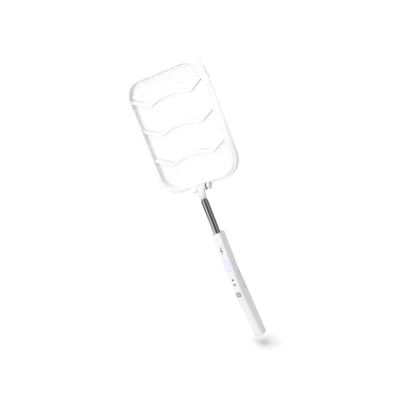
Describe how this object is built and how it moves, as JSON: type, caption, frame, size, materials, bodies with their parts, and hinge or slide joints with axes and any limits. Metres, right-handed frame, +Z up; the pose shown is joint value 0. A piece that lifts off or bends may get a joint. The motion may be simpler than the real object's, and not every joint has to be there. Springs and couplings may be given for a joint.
{
  "type": "electric fly swatter",
  "caption": "Hand-held electric fly swatter: netted rounded-rectangle head with winged ribs, folding hinge, telescopic chromed pole and leaning grip.",
  "frame": {"origin": "where the pole's axis meets the plane of the handle's end, at the hand grip mount", "axes": "+Z up the pole towards the head, -Y the way the head's front face and the power button look, +X to the side of the mode slider"},
  "size_m": [0.2054, 0.0441, 0.622],
  "materials": {
    "white_shell": "satin white ABS moulding",
    "white_net": "white powder-coated thin steel net",
    "grid_steel": "pale coated expanded sheet",
    "inner_plastic": "natural moulding kept inside",
    "brass_parts": "bright turned brass",
    "steel_parts": "zinc-plated steel",
    "chrome_tube": "bright chromed drawn tube",
    "grey_plastic": "light grey moulding",
    "dark_plastic": "dark nylon and component cases",
    "button_lens": "translucent button, faint blue glow",
    "dark_lens": "smoked indicator lens",
    "led_body": "clear tinted resin",
    "board_green": "green solder resist on laminate",
    "winding": "tape-wrapped winding",
    "film_capacitor": "dipped film capacitor",
    "cell_sleeve": "shrink-sleeved lithium cell",
    "lead_rubber": "silicone-insulated lead",
    "lead_red": "silicone-insulated lead"
  },
  "bodies": {
    "handle": {"outer_tube": "chrome_tube", "tube_base_plug": "grey_plastic", "tube_clamps": "grey_plastic", "mouth_collar": "inner_plastic", "handle_front_shell": "white_shell", "handle_rear_shell": "white_shell", "handle_screws": "steel_parts", "clamp_screws": "steel_parts", "end_cap": "white_shell", "indicator_lenses": "dark_lens", "indicator_leds": "led_body", "circuit_board": "board_green", "push_switch": "dark_plastic", "slide_switch": "steel_parts", "step_up_transformer": "winding", "high_voltage_capacitors": "film_capacitor", "rectifier_diodes": "dark_plastic", "oscillator_transistor": "dark_plastic", "controller_chip": "dark_plastic", "charge_board": "board_green", "charging_socket": "steel_parts", "battery_cell": "cell_sleeve", "battery_tabs": "steel_parts", "battery_cradles": "inner_plastic", "battery_leads": "lead_red"},
    "middle_draw": {"middle_tube": "chrome_tube", "middle_tube_bush": "brass_parts"},
    "neck_draw": {"neck": "white_shell", "neck_pin": "steel_parts", "inner_tube": "chrome_tube", "inner_tube_bush": "brass_parts", "detent_disc": "dark_plastic", "spring_washer": "dark_plastic", "coiled_lead": "lead_rubber"},
    "head": {"head_front_frame": "white_shell", "head_rear_frame": "white_shell", "front_guard_net": "white_net", "rear_guard_net": "white_net", "high_voltage_grid": "grid_steel", "front_net_spacer": "inner_plastic", "rear_net_spacer": "inner_plastic", "grid_terminals": "brass_parts", "head_screws": "steel_parts", "hinge_bolt": "steel_parts", "hinge_nut": "steel_parts", "hinge_cap": "grey_plastic"},
    "button": {"power_button": "button_lens"},
    "slider": {"mode_slider": "white_shell"}
  },
  "joints": [
    {"name": "pole_lower_draw", "type": "slide", "parent": "handle", "child": "middle_draw", "axis": [0, 0, 1], "range_m": [0, 0.075]},
    {"name": "pole_upper_draw", "type": "slide", "parent": "middle_draw", "child": "neck_draw", "axis": [0, 0, 1], "range_m": [0, 0.075]},
    {"name": "head_fold", "type": "hinge", "parent": "neck_draw", "child": "head", "pos_m": [0, 0.01, 0.3504], "axis": [1, 0, 0], "range_deg": [0, 90]},
    {"name": "power_press", "type": "slide", "parent": "handle", "child": "button", "axis": [0, 1, 0], "range_m": [0, 0.0012], "stiffness_N_per_m": 1500},
    {"name": "mode_slide", "type": "slide", "parent": "handle", "child": "slider", "axis": [0, 0, 1], "range_m": [-0.006, 0.006]}
  ]
}
